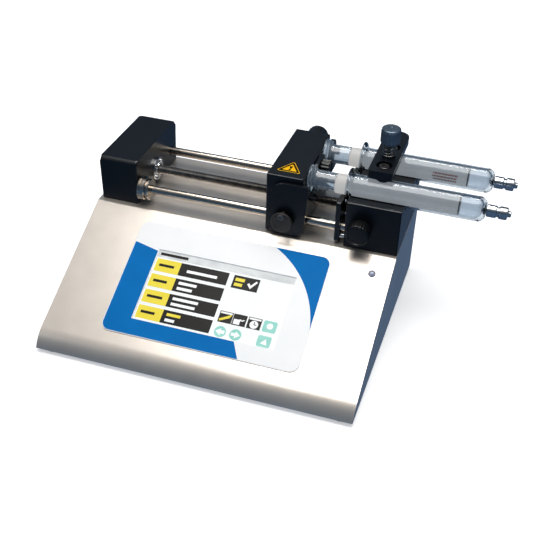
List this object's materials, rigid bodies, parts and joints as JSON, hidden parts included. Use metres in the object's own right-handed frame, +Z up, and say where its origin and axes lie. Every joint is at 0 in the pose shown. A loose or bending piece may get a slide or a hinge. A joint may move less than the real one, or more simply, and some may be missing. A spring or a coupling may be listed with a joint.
{
  "type": "syringe pump",
  "caption": "Bench syringe pump: wedge housing with sloping touch screen, rod-guided pusher block on a lead screw, and a V-groove cradle clamping two glass syringes.",
  "frame": {"origin": "under the centre of the whole object's bounding box, on the surface that the feet stand on", "axes": "+X along the guide rods towards the syringe outlets, +Y from the screen to the rear panel, +Z up"},
  "size_m": [0.2754, 0.181, 0.131],
  "materials": {
    "silver_paint": "satin warm silver powder coat",
    "black_anodised": "satin black anodised, machined",
    "polished_steel": "ground and polished",
    "plain_steel": "machined",
    "bronze": "machined bearing bronze",
    "blue_grey_anodised": "blue-grey anodised, knurled",
    "black_plastic": "moulded satin",
    "grey_plastic": "moulded satin",
    "rubber": "moulded matte",
    "clear_glass": "polished borosilicate",
    "ground_glass": "ground and frosted",
    "label_film": "printed film, blue and white",
    "screen_glass": "resistive touch film over a lit display",
    "status_lens": "dark blue lens, unlit",
    "circuit_board": "green solder mask"
  },
  "bodies": {
    "chassis": {"housing_shell": "silver_paint", "base_plate": "silver_paint", "rear_panel": "silver_paint", "foot_front_left": "rubber", "foot_front_right": "rubber", "foot_rear_left": "rubber", "foot_rear_right": "rubber", "dc_inlet": "black_plastic", "power_switch_frame": "black_plastic", "usb_socket": "plain_steel", "serial_socket_in": "plain_steel", "serial_socket_out": "plain_steel", "control_socket": "plain_steel", "overlay": "label_film", "touch_panel": "screen_glass", "display_module": "plain_steel", "status_light": "status_lens", "main_board": "circuit_board", "motor_body": "black_plastic", "motor_bracket": "plain_steel", "timing_belt": "rubber", "drive_end_block": "black_anodised", "screw_bearing": "plain_steel", "bearing_retainer": "polished_steel", "guide_rod_front": "polished_steel", "guide_rod_rear": "polished_steel", "syringe_cradle": "black_anodised", "clamp_stud": "polished_steel", "clamp_spring": "plain_steel", "syringe_barrel_front": "clear_glass", "syringe_barrel_rear": "clear_glass", "luer_tip_front": "polished_steel", "luer_tip_rear": "polished_steel"},
    "pusher": {"pusher_block": "black_anodised", "pusher_cover": "black_anodised", "rod_bushing_front": "bronze", "rod_bushing_rear": "bronze", "release_spring": "plain_steel", "plunger_front": "ground_glass", "plunger_rear": "ground_glass"},
    "lead_screw": {"lead_screw": "plain_steel", "screw_pulley": "plain_steel"},
    "motor_rotor": {"motor_rotor": "plain_steel"},
    "release_button": {"release_button": "grey_plastic", "half_nut": "bronze"},
    "rear_knob": {"rear_knob": "black_plastic"},
    "plunger_bracket": {"plunger_bracket": "black_anodised"},
    "bracket_knob": {"bracket_knob": "black_plastic"},
    "stop_collar": {"stop_collar": "polished_steel"},
    "flange_retainer": {"flange_retainer": "black_anodised", "retainer_pin_front": "polished_steel", "retainer_pin_low": "polished_steel", "retainer_pin_rear": "polished_steel"},
    "retainer_knob": {"retainer_knob": "black_plastic"},
    "clamp_bar": {"clamp_bar": "black_anodised", "clamp_pad": "black_plastic", "clamp_screw_front": "polished_steel", "clamp_screw_rear": "polished_steel"},
    "clamp_knob": {"clamp_knob": "blue_grey_anodised"},
    "power_rocker": {"power_rocker": "black_plastic"}
  },
  "joints": [
    {"name": "pusher_slide", "type": "slide", "parent": "chassis", "child": "pusher", "axis": [1, 0, 0], "range_m": [-0.066, 0.008]},
    {"name": "lead_screw_spin", "type": "hinge", "parent": "chassis", "child": "lead_screw", "pos_m": [0, 0.04495, 0.0695], "axis": [1, 0, 0], "range_deg": [-18720, 2280]},
    {"name": "motor_spin", "type": "hinge", "parent": "chassis", "child": "motor_rotor", "pos_m": [-0.1, 0.04495, 0.031], "axis": [1, 0, 0], "range_deg": [-28080, 3420]},
    {"name": "release_press", "type": "slide", "parent": "pusher", "child": "release_button", "axis": [0, 1, 0], "range_m": [0, 0.003], "stiffness_N_per_m": 600, "springref_m": -0.004, "deforming": ["release_spring"]},
    {"name": "rear_knob_turn", "type": "hinge", "parent": "pusher", "child": "rear_knob", "pos_m": [-0.00375, 0.085, 0.0934], "axis": [0, -1, 0], "range_deg": [-180, 180]},
    {"name": "bracket_slide", "type": "slide", "parent": "pusher", "child": "plunger_bracket", "axis": [1, 0, 0], "range_m": [0, 0.003]},
    {"name": "bracket_knob_turn", "type": "hinge", "parent": "plunger_bracket", "child": "bracket_knob", "pos_m": [0.014, 0.04495, 0.0946], "axis": [1, 0, 0], "range_deg": [-360, 360]},
    {"name": "stop_collar_slide", "type": "slide", "parent": "chassis", "child": "stop_collar", "axis": [1, 0, 0], "range_m": [0, 0.015]},
    {"name": "retainer_slide", "type": "slide", "parent": "chassis", "child": "flange_retainer", "axis": [1, 0, 0], "range_m": [-0.003, 0]},
    {"name": "retainer_knob_turn", "type": "hinge", "parent": "chassis", "child": "retainer_knob", "pos_m": [0.04705, 0.006, 0.074], "axis": [0, -1, 0], "range_deg": [-180, 180]},
    {"name": "clamp_lift", "type": "slide", "parent": "chassis", "child": "clamp_bar", "axis": [0, 0, 1], "range_m": [0, 0.003], "stiffness_N_per_m": 800, "springref_m": -0.004, "deforming": ["clamp_spring"]},
    {"name": "clamp_knob_turn", "type": "hinge", "parent": "chassis", "child": "clamp_knob", "pos_m": [0.05475, 0.04495, 0.125], "axis": [0, 0, 1], "range_deg": [-360, 360]},
    {"name": "power_rocker_tip", "type": "hinge", "parent": "chassis", "child": "power_rocker", "pos_m": [0.01325, 0.08485, 0.03], "axis": [1, 0, 0], "range_deg": [-15, 0]}
  ],
  "couplings": [
    {"joint": "lead_screw_spin", "follows": "pusher_slide", "rad_per_m": 4947.4},
    {"joint": "motor_spin", "follows": "pusher_slide", "rad_per_m": 7421.1}
  ]
}
